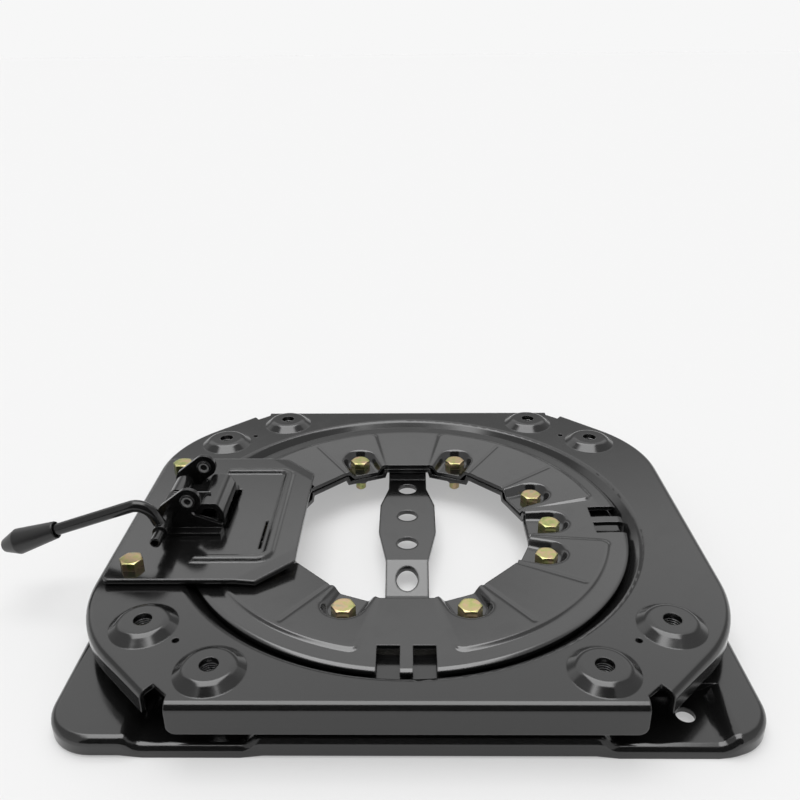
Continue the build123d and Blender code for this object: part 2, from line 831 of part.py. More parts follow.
with BuildPart() as lock_plate_nuts:
    with Locations(*lock_bolt_points):
        add(hex_head(bolt_af, plate_top - sheet - nut_h, nut_h, bolt_d + 2 * fit))
lock_plate_nuts.part.label = "lock_plate_nuts"
export_step(lock_plate_nuts.part, "parts/lock_plate_nuts.step")


def latch_wall(front, side):
    """Upright wall of the latch with two lobes and a foot, given its front face and the foot's side."""
    with BuildPart() as wall:
        with BuildSketch(Plane.XZ.offset(-front)):
            with Locations((pivot_x, pivot_z), (post_x, post_z)):
                Circle(lobe_radius)
            make_hull()
            with BuildLine():
                Polyline(
                    (wall_left, lock_top),
                    (wall_right, lock_top),
                    (wall_right, lock_top + wall_toe),
                    (wall_shoulder_x, lock_top + wall_shoulder),
                    (pivot_x, pivot_z),
                    (pivot_x - lobe_radius, pivot_z),
                    close=True,
                )
            make_face()
            with Locations((pivot_x, pivot_z)):
                Circle(shaft_d / 2 + fit, mode=Mode.SUBTRACT)
            with Locations((post_x, post_z)):
                Circle(rivet_d / 2 + fit, mode=Mode.SUBTRACT)
        extrude(amount=-sheet)
        with BuildSketch(Plane.XY.offset(lock_top)):
            with Locations(((wall_left + wall_right) / 2, side * (wall_outside + (wall_foot - sheet) / 2))):
                Rectangle(wall_right - wall_left, wall_foot + sheet)
        extrude(amount=sheet)
    return wall.part


def rivet(face):
    """Rivet through a latch wall, with a ringed head in front of the face at a given depth."""
    with BuildPart() as body:
        with BuildSketch(Plane.XZ.offset(-face)):
            with Locations((post_x, post_z)):
                Circle(rivet_d / 2)
        extrude(amount=-sheet - rivet_tail)
        with BuildSketch(Plane.XZ.offset(-face)):
            with Locations((post_x, post_z)):
                Circle(rivet_head_d / 2)
        extrude(amount=rivet_head_h)
        chamfer(body.faces().sort_by(Axis.Y)[0].edges(), rivet_head_h / 4)
        with BuildSketch(Plane.XZ.offset(rivet_head_h - face)):
            with Locations((post_x, post_z)):
                Circle(rivet_d / 2 - 0.4)
        extrude(amount=-rivet_head_h / 2, mode=Mode.SUBTRACT)
    return body.part


# Latch walls that stand on the lock plate on both sides of its window, and their rivets
with BuildPart() as latch_wall_front:
    add(latch_wall(-wall_outside, -1))
latch_wall_front.part.label = "latch_wall_front"
export_step(latch_wall_front.part, "parts/latch_wall_front.step")

with BuildPart() as latch_wall_back:
    add(latch_wall(wall_gap / 2, 1))
latch_wall_back.part.label = "latch_wall_back"
export_step(latch_wall_back.part, "parts/latch_wall_back.step")

with BuildPart() as stop_rivets:
    add(rivet(-wall_outside))
    add(rivet(wall_gap / 2))
stop_rivets.part.label = "stop_rivets"
export_step(stop_rivets.part, "parts/stop_rivets.step")

# Lever shaft, hollow at its front end, and its clip
with BuildPart() as handle_shaft:
    with BuildSketch(Plane.XZ.offset(-shaft_back)):
        with Locations((pivot_x, pivot_z)):
            Circle(shaft_d / 2)
    extrude(amount=shaft_back - shaft_front)
    chamfer(handle_shaft.edges().filter_by(GeomType.CIRCLE), shaft_d / 10)
    with BuildSketch(Plane.XZ.offset(-shaft_front)):
        with Locations((pivot_x, pivot_z)):
            Circle(shaft_bore / 2)
    extrude(amount=-shaft_bore_depth, mode=Mode.SUBTRACT)
handle_shaft.part.label = "handle_shaft"
export_step(handle_shaft.part, "parts/handle_shaft.step")

with BuildPart() as shaft_clip:
    with BuildSketch(Plane.XZ.offset(-wall_outside - gap)):
        with Locations((pivot_x, pivot_z)):
            Circle(clip_d / 2)
            Circle(shaft_d / 2 + fit, mode=Mode.SUBTRACT)
            Rectangle(shaft_d * 0.7, clip_d, align=(Align.CENTER, Align.MAX), mode=Mode.SUBTRACT)
    extrude(amount=-clip_thick)
shaft_clip.part.label = "shaft_clip"
export_step(shaft_clip.part, "parts/shaft_clip.step")

# Pawl: a folded sheet on the shaft that reaches through the window with two teeth
tooth_tip = sector_top + pawl_lift
tooth_near = slot_gap / 2 + tooth_play
tooth_far = slot_gap / 2 + slot_width - tooth_play
with BuildPart() as pawl:
    with BuildSketch(Plane.XZ):
        with BuildLine():
            FilletPolyline(
                (pivot_x + shaft_d / 2, pivot_z - shaft_d / 2),
                (pawl_foot_x, lock_top + pawl_foot_rise),
                (arch_left, lock_top + arch_rise),
                (arch_right, lock_top + arch_rise),
                (arch_face, lock_top + arch_shoulder),
                (arch_face, lock_top + pawl_knee),
                (-tooth_radius, tooth_tip + tooth_length),
                (-tooth_radius, tooth_tip),
                radius=pawl_thick * 0.6,
            )
        trace(line_width=pawl_thick)
    extrude(amount=pawl_half, both=True)
    with BuildSketch(Plane.XY.offset(lock_top)):
        with Locations((neck_x, knuckle_front)):
            Rectangle(2 * coil_d, 2 * pawl_half, align=(Align.MAX, Align.MAX))
        with Locations((neck_x, knuckle_back)):
            Rectangle(2 * coil_d, 2 * pawl_half, align=(Align.MAX, Align.MIN))
    extrude(amount=post_rise, mode=Mode.SUBTRACT)
    with BuildSketch(Plane.XY.offset(tooth_tip)):
        with Locations((-tooth_radius, 0)):
            Rectangle(2 * pawl_thick, 2 * pawl_half + 2)
            Rectangle(2 * pawl_thick, 2 * tooth_far, mode=Mode.SUBTRACT)
            Rectangle(2 * pawl_thick, 2 * tooth_near)
    extrude(amount=tooth_length, mode=Mode.SUBTRACT)
    with BuildSketch(Plane.XZ.offset(-knuckle_back)):
        with Locations((pivot_x, pivot_z)):
            Circle(shaft_d / 2 + knuckle_wall)
    extrude(amount=knuckle_back - knuckle_front)
    with BuildSketch(Plane.XZ):
        with Locations((pivot_x, pivot_z)):
            Circle(shaft_d / 2 + fit)
    extrude(amount=pawl_half, both=True, mode=Mode.SUBTRACT)
pawl.part.label = "pawl"
export_step(pawl.part, "parts/pawl.step")

# Lever: bent rod with a hub on the shaft, and its grip
rod_bend_x = pivot_x - rod_lean
rod_bend_z = pivot_z + rod_rise
rod_slope = tan(radians(rod_fall))
rod_end_z = rod_bend_z - (rod_bend_x - rod_end_x) * rod_slope
lever_plane = Plane.XZ.offset(-lever_y)
with BuildPart() as handle_rod:
    with BuildLine(lever_plane) as rod_path:
        FilletPolyline(
            (pivot_x, pivot_z),
            (rod_bend_x, rod_bend_z),
            (rod_end_x, rod_end_z),
            radius=rod_bend,
        )
    with BuildSketch(Plane(origin=rod_path.line @ 0, z_dir=rod_path.line % 0)):
        Circle(rod_d / 2)
    sweep()
    with BuildSketch(lever_plane.offset(-hub_length / 2)):
        with Locations((pivot_x, pivot_z)):
            Circle(hub_d / 2)
    extrude(amount=hub_length)
    with BuildSketch(lever_plane):
        with Locations((pivot_x, pivot_z)):
            Circle(shaft_d / 2 + fit)
    extrude(amount=hub_length, both=True, mode=Mode.SUBTRACT)
handle_rod.part.label = "handle_rod"
export_step(handle_rod.part, "parts/handle_rod.step")

grip_start_z = rod_bend_z - (rod_bend_x - grip_start_x) * rod_slope
grip_plane = Plane(
    origin=(grip_start_x, lever_y, grip_start_z),
    x_dir=(-cos(radians(rod_fall)), 0, -sin(radians(rod_fall))),
    z_dir=(0, 1, 0),
)
rod_inside = (grip_start_x - rod_end_x) / cos(radians(rod_fall)) + fit
with BuildPart() as handle_grip:
    with BuildSketch(grip_plane):
        with BuildLine():
            Polyline(
                (0, rod_d / 2 + fit),
                (0, grip_d / 2 + grip_ring),
                (2 * grip_ring, grip_d / 2 + grip_ring),
                (2 * grip_ring, grip_d / 2),
                (grip_length - grip_taper, grip_d / 2),
                (grip_length, grip_tip_d / 2),
                (grip_length, 0),
                (rod_inside, 0),
                (rod_inside, rod_d / 2 + fit),
                close=True,
            )
        make_face()
    revolve(axis=Axis(grip_plane.origin, grip_plane.x_dir))
    fillet(handle_grip.edges().filter_by(GeomType.CIRCLE).sort_by(Axis.X)[0], grip_tip_d / 4)
handle_grip.part.label = "handle_grip"
export_step(handle_grip.part, "parts/handle_grip.step")

# Torsion spring on the shaft: one leg stands on the lock plate, the other lies over the pawl
coil_length = coil_pitch * (coil_turns + 0.25)
with BuildLine() as coil_path:
    Helix(coil_pitch, coil_length, coil_d / 2)
with BuildPart() as coil:
    with BuildSketch(Plane.XZ):
        with Locations((coil_d / 2, 0)):
            Circle(wire_d / 2)
    sweep(path=coil_path.line, is_frenet=True)
    with BuildSketch(Plane.XZ):
        with Locations((coil_d / 2, 0)):
            Circle(wire_d / 2)
    extrude(amount=pivot_rise - wire_d / 2 - fit)
    with BuildSketch(Plane.YZ):
        with Locations((coil_d / 2, coil_length)):
            Circle(wire_d / 2)
    extrude(amount=-leg_reach)
spring_place = Plane(origin=(pivot_x, coil_front, pivot_z), x_dir=(-1, 0, 0), z_dir=(0, 1, 0))
with BuildPart() as torsion_spring:
    add(spring_place.location * coil.part)
torsion_spring.part.label = "torsion_spring"
export_step(torsion_spring.part, "parts/torsion_spring.step")
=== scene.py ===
from math import cos, hypot, pi, radians, sin

import bmesh
import bpy
from mathutils import Matrix, Vector


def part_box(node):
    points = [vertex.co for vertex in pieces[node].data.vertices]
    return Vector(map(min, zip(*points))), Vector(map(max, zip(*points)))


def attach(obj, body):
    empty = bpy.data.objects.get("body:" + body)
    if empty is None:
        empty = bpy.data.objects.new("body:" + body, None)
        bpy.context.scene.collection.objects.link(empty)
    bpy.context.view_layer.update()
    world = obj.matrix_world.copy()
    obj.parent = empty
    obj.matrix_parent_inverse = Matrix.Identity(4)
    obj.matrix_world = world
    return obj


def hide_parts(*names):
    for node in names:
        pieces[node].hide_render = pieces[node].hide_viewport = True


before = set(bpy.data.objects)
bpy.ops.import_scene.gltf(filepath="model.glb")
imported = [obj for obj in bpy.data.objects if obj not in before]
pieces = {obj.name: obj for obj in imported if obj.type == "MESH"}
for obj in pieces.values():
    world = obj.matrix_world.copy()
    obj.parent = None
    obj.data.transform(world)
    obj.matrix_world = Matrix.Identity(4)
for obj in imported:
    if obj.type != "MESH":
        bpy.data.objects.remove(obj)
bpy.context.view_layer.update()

# Places on the solids that the finishes follow, in metres
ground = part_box("base_plate")[0].z
screw_head = 0.0053
screw_pitch = 0.00125
disc_screw_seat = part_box("disc_bolts")[1].z - screw_head
lock_screw_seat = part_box("lock_plate_bolts")[1].z - screw_head
seat_bolts = ((0.150, 0.1155), (0.104, 0.152))
seat_bore = 0.0056
seat_pitch = 0.0015
rivet_x = -0.1444
rivet_z = 0.0236
grey_ring_from = (0.0020, 0.0026)
grey_ring_to = (0.0033, 0.0040)

# Black paint: rounding of the sheet's edges in metres, and the index that sets the gloss
plate_edge = 0.0010
pressing_edge = 0.0022
plate_gloss = 1.66
pressing_gloss = 1.8


class Flow:
    """One socket of a finish's node tree, which works in sums like a number."""

    def __init__(self, tree, socket=None):
        self.tree = tree
        self.socket = socket

    def node(self, kind, settings=None, inputs=None, out=0):
        """Adds a node from its type, its settings, and the values or links of its sockets."""
        made = self.tree.nodes.new("ShaderNode" + kind)
        for name, value in (settings or {}).items():
            if name == "stops":
                ramp = made.color_ramp.elements
                while len(ramp) < len(value):
                    ramp.new(1.0)
                for stop, (place, colour) in zip(ramp, value):
                    stop.position = place
                    stop.color = (*colour, 1.0)
            else:
                setattr(made, name, value)
        for name, value in (inputs or {}).items():
            if isinstance(value, Flow):
                self.tree.links.new(value.socket, made.inputs[name])
            else:
                made.inputs[name].default_value = value
        return Flow(self.tree, made.outputs[out] if made.outputs else None)

    def math(self, operation, first, second=0.0):
        return self.node("Math", {"operation": operation}, {0: first, 1: second})

    def __add__(self, other):
        return self.math("ADD", self, other)

    __radd__ = __add__

    def __sub__(self, other):
        return self.math("SUBTRACT", self, other)

    def __rsub__(self, other):
        return self.math("SUBTRACT", other, self)

    def __mul__(self, other):
        return self.math("MULTIPLY", self, other)

    __rmul__ = __mul__

    def __pow__(self, other):
        return self.math("POWER", self, other)

    def __gt__(self, other):
        return self.math("GREATER_THAN", self, other)

    def __lt__(self, other):
        return self.math("LESS_THAN", self, other)

    def __abs__(self):
        return self.math("ABSOLUTE", self)

    def sine(self):
        return self.math("SINE", self)

    def least(self, other):
        return self.math("MINIMUM", self, other)

    def rise(self, low, high):
        """0 below low, 1 above high, and a smooth step between."""
        return self.node(
            "MapRange",
            {"interpolation_type": "SMOOTHSTEP"},
            {"Value": self, "From Min": low, "From Max": high},
        )

    def blend(self, first, second):
        """Colour that goes from first to second as this value goes from 0 to 1."""
        return self.node("Mix", {"data_type": "RGBA"}, {0: self, 6: first, 7: second}, out=2)

    def noise(self, size, detail=2.0, rough=0.5):
        """Cloudy value round 0.5, with patches about size metres across; self is the place."""
        inputs = {"Vector": self, "Scale": 1 / size, "Detail": detail, "Roughness": rough}
        return self.node("TexNoise", None, inputs)

    def stretched(self, x, y, z):
        """Place that is scaled along the three axes."""
        return self.node("VectorMath", {"operation": "MULTIPLY"}, {0: self, 1: (x, y, z)})

    def along(self, axis):
        """Distance along x, y or z, for axis 0, 1 or 2."""
        return self.node("SeparateXYZ", None, {0: self}, out=axis)

    def rounded(self, radius):
        """Normal as if the edges were rounded to a radius."""
        return self.node("Bevel", {"samples": 6}, {"Radius": radius})

    def edge(self):
        """How near an edge is, from 0 to 1; self is the rounded normal."""
        face = self.node("NewGeometry", out="Normal")
        same = self.node("VectorMath", {"operation": "DOT_PRODUCT"}, {0: self, 1: face}, out="Value")
        return 1 - same.rise(0.7, 0.99)

    def relief(self, strength, distance, normal=None):
        """Normal of a surface that this height lifts by up to distance metres."""
        inputs = {"Strength": strength, "Distance": distance, "Height": self}
        if normal:
            inputs["Normal"] = normal
        return self.node("Bump", None, inputs)


def grey(value):
    return (value, value, value, 1.0)


def finish(name, make):
    """Material whose make function gets the place on the piece and returns the Principled sockets."""
    material = bpy.data.materials.new(name)
    material.use_nodes = True
    tree = material.node_tree
    tree.nodes.clear()
    start = Flow(tree)
    place = start.node("TexCoord", out="Object")
    shader = start.node("BsdfPrincipled", None, make(place))
    start.node("OutputMaterial", None, {"Surface": shader})
    return material


def painted_steel(radius, index):
    """Dipped gloss black with a faint orange peel, smudges and dust, on sheet whose edges have a radius; the
    edges are painted lighter, partly as paint worn thin and partly as painted highlight.
    """

    def make(place):
        cloud = place.noise(0.035, 3.0)
        smudge = place.noise(0.014, 4.0, 0.6).rise(0.52, 0.72)
        peel = place.noise(0.0022, 2.0)
        grit = place.noise(0.0005, 3.0, 0.65)
        dust = grit.rise(0.67, 0.76) * cloud.rise(0.42, 0.6)
        rounded = place.rounded(radius)
        black = cloud.blend(grey(0.004), grey(0.007))
        # Edges lightened to grey: partly paint worn thin, partly a painted highlight along the rounded
        # edges.
        worn_and_highlit_edges = (rounded.edge() * grit.rise(0.35, 0.65) * 0.6).blend(black, grey(0.05))
        return {
            "Base Color": (dust * 0.4).blend(worn_and_highlit_edges, grey(0.10)),
            "Roughness": 0.11 + cloud * 0.05 + smudge * 0.05 + dust * 0.2,
            "IOR": index,
            "Normal": (peel + grit * 0.25).relief(0.10, 0.00010, rounded),
        }

    return make


def latch_paint(place):
    """Thicker gloss black of the latch and the lever, its edges painted lighter, partly as worn paint and
    partly as painted highlight.
    """
    cloud = place.noise(0.010, 3.0)
    peel = place.noise(0.0012, 2.0)
    grit = place.noise(0.0004, 3.0, 0.65)
    rounded = place.rounded(0.0006)
    black = cloud.blend(grey(0.003), grey(0.006))
    return {
        # Edges lightened to grey: partly worn paint, partly a painted highlight along the rounded edges.
        "Base Color": (rounded.edge() * grit.rise(0.4, 0.7) * 0.5).blend(black, grey(0.06)),
        "Roughness": 0.13 + cloud * 0.10,
        "IOR": 1.55,
        "Normal": peel.relief(0.12, 0.00010, rounded),
    }


def rivet_paint(place):
    """Black rivets whose heads carry a lighter, scratchy grey ring."""
    cloud = place.noise(0.004, 3.0)
    scratch = place.noise(0.0005, 3.0, 0.6)
    reach = ((place.along(0) - rivet_x) ** 2 + (place.along(2) - rivet_z) ** 2) ** 0.5
    ring = reach.rise(*grey_ring_from) * (1 - reach.rise(*grey_ring_to))
    grey_ring = ring * (0.3 + scratch * 1.2) * 0.8
    return {
        "Base Color": grey_ring.blend(cloud.blend(grey(0.006), grey(0.012)), grey(0.30)),
        "Roughness": 0.2 + cloud * 0.14,
        "Normal": scratch.relief(0.12, 0.00008, place.rounded(0.0005)),
    }


def screw_zinc(seat):
    """Yellow zinc of a screw whose head stands on a given level and whose shank has a thread, with painted
    glints lightening its edges.
    """
    green = (0.30, 0.36, 0.13)
    yellow = (0.46, 0.45, 0.19)
    pink = (0.56, 0.40, 0.25)
    olive = (0.36, 0.39, 0.24)

    def make(place):
        batch = place.noise(0.045, 1.0)
        drift = place.noise(0.0045, 3.0)
        scratch = place.stretched(1, 1, 0.3).noise(0.0004, 3.0, 0.6)
        height = place.along(2)
        thread = (height * (2 * pi / screw_pitch)).sine() * (height < seat)
        rounded = place.rounded(0.0006)
        zinc_tone = place.node(
            "ValToRGB",
            {"stops": [(0.34, green), (0.45, yellow), (0.54, pink), (0.64, olive)]},
            {0: batch * 0.5 + drift * 0.5},
        )
        return {
            # Edges blended to pale cream: painted glints of light along the rounded edges.
            "Base Color": (rounded.edge() * 0.6).blend(zinc_tone, (0.80, 0.74, 0.52, 1.0)),
            "Metallic": 1.0,
            "Roughness": 0.20 + drift * 0.16 + scratch * 0.08,
            "Normal": (scratch + drift * 2.0 + thread * 3.0).relief(0.20, 0.00012, rounded),
        }

    return make


def threaded_nut(place):
    """Painted weld nut with a bare, oiled thread in its bore."""
    x, y = abs(place.along(0)), abs(place.along(1))
    first, second = [((x - across) ** 2 + (y - deep) ** 2) ** 0.5 for across, deep in seat_bolts]
    bore = 1 - first.least(second).rise(seat_bore - 0.0002, seat_bore)
    thread = (place.along(2) * (2 * pi / seat_pitch)).sine()
    crest = thread.rise(-0.2, 0.7)
    cloud = place.noise(0.003, 3.0)
    paint = cloud.blend(grey(0.004), grey(0.008))
    return {
        "Base Color": bore.blend(paint, crest.blend(grey(0.015), grey(0.34))),
        "Metallic": bore * 0.9,
        "Roughness": 0.2 + cloud * 0.16,
        "Normal": (thread * bore + cloud * 0.1).relief(0.8, 0.0005),
    }


def bright_steel(place):
    """Bare ground steel with fine streaks."""
    streak = place.noise(0.0006, 3.0)
    cloud = place.noise(0.008, 2.0)
    return {
        "Base Color": cloud.blend(grey(0.5), grey(0.66)),
        "Metallic": 1.0,
        "Roughness": 0.2 + streak * 0.2,
        "Normal": streak.relief(0.08, 0.00005),
    }


def spring_wire(place):
    """Oil-tempered wire, dark with bare rubs."""
    cloud = place.noise(0.004, 3.0)
    streak = place.noise(0.0005, 3.0, 0.6)
    return {
        "Base Color": streak.rise(0.5, 0.7).blend(cloud.blend(grey(0.05), grey(0.09)), grey(0.2)),
        "Metallic": 0.9,
        "Roughness": 0.28 + cloud * 0.16,
        "Normal": streak.relief(0.1, 0.00006),
    }


def grip_rubber(place):
    """Moulded rubber with a soft sheen and a fine grain."""
    cloud = place.noise(0.012, 2.0)
    grain = place.noise(0.0006, 3.0, 0.6)
    return {
        "Base Color": cloud.blend(grey(0.003), grey(0.006)),
        "Roughness": 0.30 + grain * 0.14,
        "IOR": 1.6,
        "Normal": grain.relief(0.18, 0.00010, place.rounded(0.0006)),
    }


def greased_nylon(place):
    """Natural nylon under a film of dark, gritty bearing grease."""
    cloud = place.noise(0.006, 3.0)
    grain = place.noise(0.0007, 3.0, 0.65)
    grit = grain.rise(0.55, 0.68)
    film = cloud.blend((0.030, 0.029, 0.026, 1), (0.055, 0.052, 0.046, 1))
    return {
        "Base Color": (grit * 0.6).blend(film, (0.26, 0.25, 0.22, 1)),
        "Roughness": 0.30 + cloud * 0.2,
        "Normal": grain.relief(0.4, 0.0003),
    }


finishes = {
    finish("painted_plate", painted_steel(plate_edge, plate_gloss)): (
        "base_plate", "swivel_plate", "disc_nuts", "lock_plate_nuts", "pawl",
    ),
    finish("painted_pressing", painted_steel(pressing_edge, pressing_gloss)): (
        "retainer_disc", "centre_strap", "lock_plate",
    ),
    finish("latch_paint", latch_paint): (
        "latch_wall_front", "latch_wall_back", "handle_shaft", "handle_rod",
    ),
    finish("rivet_paint", rivet_paint): ("stop_rivets",),
    finish("disc_screw_zinc", screw_zinc(disc_screw_seat)): ("disc_bolts",),
    finish("lock_screw_zinc", screw_zinc(lock_screw_seat)): ("lock_plate_bolts", "lock_plate_spacers"),
    finish("threaded_nut", threaded_nut): ("seat_nuts",),
    finish("bright_steel", bright_steel): ("bearing_balls", "shaft_clip"),
    finish("spring_wire", spring_wire): ("torsion_spring",),
    finish("grip_rubber", grip_rubber): ("handle_grip",),
    finish("greased_nylon", greased_nylon): ("glide_ring", "ball_cage"),
}
for material, names in finishes.items():
    for name in names:
        pieces[name].data.materials.clear()
        pieces[name].data.materials.append(material)


def placed(name, data):
    """Object of a mesh or of the camera, put into the scene."""
    item = bpy.data.objects.new(name, data)
    bpy.context.scene.collection.objects.link(item)
    return item


def mesh_of(form, name):
    """Mesh of a finished bmesh form."""
    mesh = bpy.data.meshes.new(name)
    form.to_mesh(mesh)
    form.free()
    return mesh


# Retainer disc as a soft pressing, in millimetres about the turning axis and degrees round it
per_metre = 1000
quarter = 90.0
segment = 22.5
sheet = 3.0
edge_corner = 86.0
rim_outer = 150.0
rim_round = 0.9
rim_round_from = rim_outer - 2.4
rim_round_to = rim_outer + 0.4
dish_slope = 0.05
sector_outer = 138.0
sector_corner = 6.0
sector_lip = 0.4
sector_rise = 1.5
sector_bevel = (-0.6, 1.8)
rim_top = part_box("retainer_disc")[1].z * per_metre - sector_rise
crease_depth = 0.5
crease_half = 1.6
crease_end = (132.0, 134.0)
pad_floor = rim_top - 7.3
pad_circle = 99.3
pad_radius = 9.5
pad_mouth = 5.0
pad_fade = 0.5
pad_angles = (0, 22.5, 67.5, 112.5, 157.5, 180, -157.5, -112.5, -67.5, -22.5)
screw_hole = 4.5
hole_facets = 40
slot_angles = (-90, 0, 180)
slot_inner = 129.0
slot_width = 12.9
slot_gap = 7.2
slot_past_rim = 10.0
cutter_depth = 20.0
steps_round = 640
steps_out = 56
disc_crisp = radians(40)


def smooth(value, low, high):
    """Smooth step from 0 at low to 1 at high."""
    share = min(1.0, max(0.0, (value - low) / (high - low)))
    return share * share * (3 - 2 * share)


def disc_inner(angle):
    """Distance of the sixteen-sided inner edge from the axis."""
    off_side = (angle + segment / 2) % segment - segment / 2
    return edge_corner * cos(radians(segment / 2)) / cos(radians(off_side))


def disc_top(radius, angle):
    """Height of the disc's upper face: dished, with raised sectors, creases, and pads open to the centre."""
    height = rim_top - max(0.0, sector_outer - radius) * dish_slope
    from_tongue = (angle + quarter / 2) % quarter - quarter / 2
    beside = radius * sin(radians(abs(from_tongue) - segment / 2))
    inside = min(beside, sector_outer - radius)
    if beside < sector_corner and sector_outer - radius < sector_corner:
        inside = sector_corner - hypot(sector_corner - beside, sector_corner - sector_outer + radius)
    raised = sector_lip + (sector_rise - sector_lip) * (radius - edge_corner) / (sector_outer - edge_corner)
    height += raised * smooth(inside, *sector_bevel)
    height -= rim_round * smooth(radius, rim_round_from, rim_round_to)
    off_crease = radius * sin(radians(abs(abs(from_tongue) - 1.5 * segment)))
    height -= crease_depth * (1 - smooth(off_crease, 0.0, crease_half)) * (1 - smooth(radius, *crease_end))
    nearest = min(abs((angle - pad + 180) % 360 - 180) for pad in pad_angles)
    outward = radius * cos(radians(nearest)) - pad_circle
    aside = radius * sin(radians(min(nearest, quarter)))
    off_pad = hypot(max(0.0, outward), aside)
    return pad_floor + (height - pad_floor) * smooth(off_pad, pad_radius - pad_fade, pad_radius + pad_mouth)


def disc_mesh():
    """Closed sheet that follows the upper face, as rows from the inner edge to the rim."""
    upper, lower = [], []
    for turn in range(steps_round):
        angle = 360 * turn / steps_round
        inner = disc_inner(angle)
        for row in range(steps_out + 1):
            radius = inner + (rim_outer - inner) * row / steps_out
            x, y = radius * cos(radians(angle)), radius * sin(radians(angle))
            height = disc_top(radius, angle)
            upper.append(Vector((x, y, height)) / per_metre)
            lower.append(Vector((x, y, height - sheet)) / per_metre)
    rows, count = steps_out + 1, len(upper)
    faces = []
    for turn in range(steps_round):
        here, there = turn * rows, (turn + 1) % steps_round * rows
        for row in range(steps_out):
            top = (here + row, here + row + 1, there + row + 1, there + row)
            faces.append(top)
            faces.append([count + corner for corner in reversed(top)])
        faces.append((here, there, count + there, count + here))
        rim_here, rim_there = here + steps_out, there + steps_out
        faces.append((rim_there, rim_here, count + rim_here, count + rim_there))
    mesh = bpy.data.meshes.new("retainer_pressing")
    mesh.from_pydata(upper + lower, [], faces)
    return mesh


def round_axis(angle, x, y, z):
    """Place of a cutter that is turned about the axis by an angle."""
    return Matrix.Rotation(radians(angle), 4, "Z") @ Matrix.Translation(Vector((x, y, z)) / per_metre)


def disc_cutter():
    """Slots for the pawl's teeth and holes for the screws, as closed blocks."""
    form = bmesh.new()
    length = rim_outer + slot_past_rim - slot_inner
    block = Matrix.Diagonal((length / per_metre, slot_width / per_metre, cutter_depth / per_metre, 1.0))
    for angle in slot_angles:
        for side in (-1, 1):
            place = round_axis(angle, slot_inner + length / 2, side * (slot_gap + slot_width) / 2, rim_top)
            bmesh.ops.create_cube(form, size=1.0, matrix=place @ block)
    for angle in pad_angles:
        bmesh.ops.create_cone(
            form,
            cap_ends=True,
            segments=hole_facets,
            radius1=screw_hole / per_metre,
            radius2=screw_hole / per_metre,
            depth=cutter_depth / per_metre,
            matrix=round_axis(angle, pad_circle, 0, pad_floor),
        )
    return mesh_of(form, "disc_cutter")


disc = placed("retainer_pressing", disc_mesh())
cutter = placed("disc_cutter", disc_cutter())
cut = disc.modifiers.new("cut", "BOOLEAN")
cut.operation = "DIFFERENCE"
cut.solver = "MANIFOLD"
cut.object = cutter
cut_disc = disc.evaluated_get(bpy.context.evaluated_depsgraph_get())
disc_shape = bpy.data.meshes.new_from_object(cut_disc)
disc.modifiers.clear()
disc.data = disc_shape
bpy.data.objects.remove(cutter)
disc_shape.shade_smooth()
disc_shape.set_sharp_from_angle(angle=disc_crisp)
disc_shape.materials.clear()
disc_shape.materials.append(finish("painted_disc", painted_steel(plate_edge, pressing_gloss)))
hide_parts("retainer_disc")
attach(disc, "base")

# Grip, wider towards its tip: places along the rod and radii, in millimetres from the grip's mouth
grip_mouth = Vector((-226.5, -42.0, 12.42))
grip_fall = radians(18.7)
grip_bore = ((31.3, 0.0), (31.3, 3.95), (3.0, 3.95))
grip_lip = ((0.5, 4.6), (0.0, 5.0), (0.15, 5.45), (0.6, 5.75))
grip_barrel = ((14.0, 7.15), (26.8, 8.5), (27.4, 8.52), (28.0, 8.3))
grip_tip = ((37.0, 4.7), (37.9, 4.1), (38.5, 3.1), (38.8, 1.7), (38.9, 0.0))
grip_steps = 72
grip_crisp = radians(25)
weld_distance = 0.000001


def grip_mesh():
    """Closed form turned about the rod, with the bore that the rod sits in."""
    along = Vector((-cos(grip_fall), 0, -sin(grip_fall)))
    aside = Vector((0, 1, 0))
    under = along.cross(aside)
    turns = [2 * pi * step / grip_steps for step in range(grip_steps)]
    spokes = [aside * cos(turn) + under * sin(turn) for turn in turns]
    form = bmesh.new()
    rings = []
    for place, radius in grip_bore + grip_lip + grip_barrel + grip_tip:
        middle = grip_mouth + along * place
        rings.append([form.verts.new((middle + spoke * radius) / per_metre) for spoke in spokes])
    for first, second in zip(rings, rings[1:]):
        for step in range(grip_steps):
            following = (step + 1) % grip_steps
            form.faces.new((first[step], first[following], second[following], second[step]))
    bmesh.ops.remove_doubles(form, verts=form.verts, dist=weld_distance)
    bmesh.ops.recalc_face_normals(form, faces=form.faces)
    return mesh_of(form, "moulded_grip")


grip = placed("moulded_grip", grip_mesh())
grip.data.shade_smooth()
grip.data.set_sharp_from_angle(angle=grip_crisp)
grip.data.materials.append(pieces["handle_grip"].data.materials[0])
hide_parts("handle_grip")
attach(grip, "release_lever")

# Studio: its shades, and its places in metres
backdrop = 0.93
floor_reach = 30.0
floor_shade = 0.71
floor_pale = 0.4
card_half = 0.85
card_near = -0.36
card_far = -1.1
card_foot = ground + 0.001
card_top = 2.2
card_shade = 0.06


def flat_piece(name, corners, faces, shade, pale=0.0):
    """Matt sheet of the studio, of which a share reads as pale backdrop to the camera and in reflections."""
    mesh = bpy.data.meshes.new(name)
    mesh.from_pydata(corners, [], faces)
    material = bpy.data.materials.new(name)
    material.use_nodes = True
    material.node_tree.nodes.clear()
    start = Flow(material.node_tree)
    matt = start.node("BsdfDiffuse", None, {"Color": grey(shade)})
    plain = start.node("Emission", None, {"Color": grey(backdrop), "Strength": 1.0})
    seen = sum(start.node("LightPath", out=f"Is {ray} Ray") for ray in ("Camera", "Glossy", "Transmission"))
    surface = start.node("MixShader", None, {0: seen.least(1.0) * pale, 1: matt, 2: plain})
    start.node("OutputMaterial", None, {"Surface": surface})
    mesh.materials.append(material)
    panel = placed(name, mesh)
    return panel


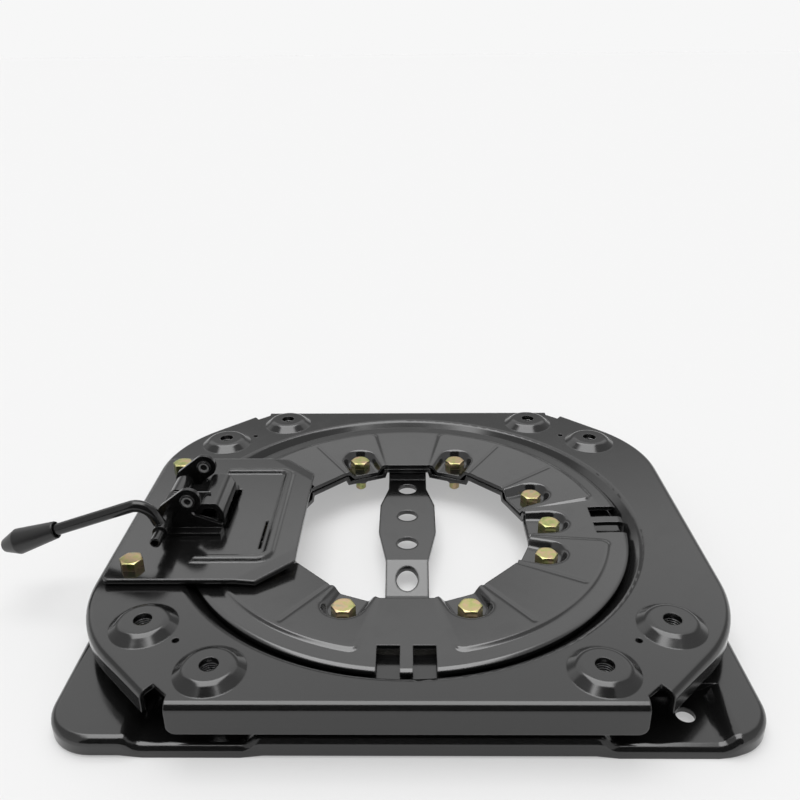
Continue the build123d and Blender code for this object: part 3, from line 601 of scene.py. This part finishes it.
# Pale floor, and a dark card before the object that only its paint reflects
flat_piece(
    "studio_floor",
    [
        (-floor_reach, -floor_reach, ground),
        (floor_reach, -floor_reach, ground),
        (floor_reach, floor_reach, ground),
        (-floor_reach, floor_reach, ground),
    ],
    [(0, 1, 2, 3)],
    floor_shade,
    floor_pale,
)
card = flat_piece(
    "dark_card",
    [
        (-card_half, card_near, card_foot),
        (card_half, card_near, card_foot),
        (-card_half, card_far, card_foot),
        (card_half, card_far, card_foot),
        (-card_half, card_far, card_top),
        (card_half, card_far, card_top),
    ],
    [(0, 1, 3, 2), (2, 3, 5, 4)],
    card_shade,
)
card.visible_camera = False
card.visible_diffuse = False
card.visible_shadow = False

# Studio dome: dim room, a paler wall behind the object, a softbox overhead, and a pale backdrop.
# Each pair is where a light begins and is full, as parts of the direction that it is seen in.
room_light = 0.50
room_fall = 0.16
horizon_height = (0.08, 0.25)
horizon_depth = (-0.3, -0.1)
wall_light = 0.76
wall_up = 0.857
wall_back = 0.515
wall_edge = (-0.12, 0.06)
wall_depth = (0.30, 0.40)
wall_side = (0.55, 0.80)
softbox_light = 3.5
softbox_aside = 0.06
softbox_side = (0.30, 0.42)
softbox_back = 0.46
softbox_front = 0.34
softbox_fade = 0.05
world = bpy.data.worlds.new("studio_dome")
bpy.context.scene.world = world
world.use_nodes = True
world.node_tree.nodes.clear()
start = Flow(world.node_tree)
way = start.node("TexCoord", out="Generated")
across, back, up = [way.along(axis) for axis in range(3)]
away = abs(across + softbox_aside)
dim = room_light - room_fall * back
horizon = (1 - up.rise(*horizon_height)) * back.rise(*horizon_depth)
wall_foot = (wall_up * up - wall_back * back).rise(*wall_edge)
wall = wall_foot * back.rise(*wall_depth) * (1 - away.rise(*wall_side))
back_edge = (softbox_back - back).rise(-softbox_fade, softbox_fade)
front_edge = (back + softbox_front).rise(-softbox_fade, softbox_fade)
softbox = back_edge * front_edge * (1 - away.rise(*softbox_side)) * (up > 0.0)
dome = dim + horizon * (backdrop - dim) + wall * wall_light + softbox * softbox_light
seen = start.node("LightPath", out="Is Camera Ray") + start.node("LightPath", out="Is Transmission Ray")
light = dome + seen.least(1.0) * (backdrop - dome)
glow = start.node("Background", None, {"Color": light, "Strength": 1.0})
start.node("OutputWorld", None, {"Surface": glow})

# Camera of the photo
lens_pixels = 808.7
picture_width = 800
sensor_width = 36.0
camera_place = Vector((0.0030, -0.4844, 0.2980))
camera_pitch = radians(23.77)
camera_yaw = radians(0.85)
camera_roll = radians(-0.55)
camera_data = bpy.data.cameras.new("camera")
camera_data.sensor_width = sensor_width
camera_data.lens = sensor_width * lens_pixels / picture_width
camera_data.clip_start = 0.01
camera_data.clip_end = 200.0
camera = placed("camera", camera_data)
camera_turn = (
    Matrix.Rotation(camera_yaw, 4, "Z")
    @ Matrix.Rotation(radians(90) - camera_pitch, 4, "X")
    @ Matrix.Rotation(camera_roll, 4, "Z")
)
camera.matrix_world = Matrix.Translation(camera_place) @ camera_turn
bpy.context.scene.camera = camera
bpy.context.scene.view_settings.view_transform = "Standard"
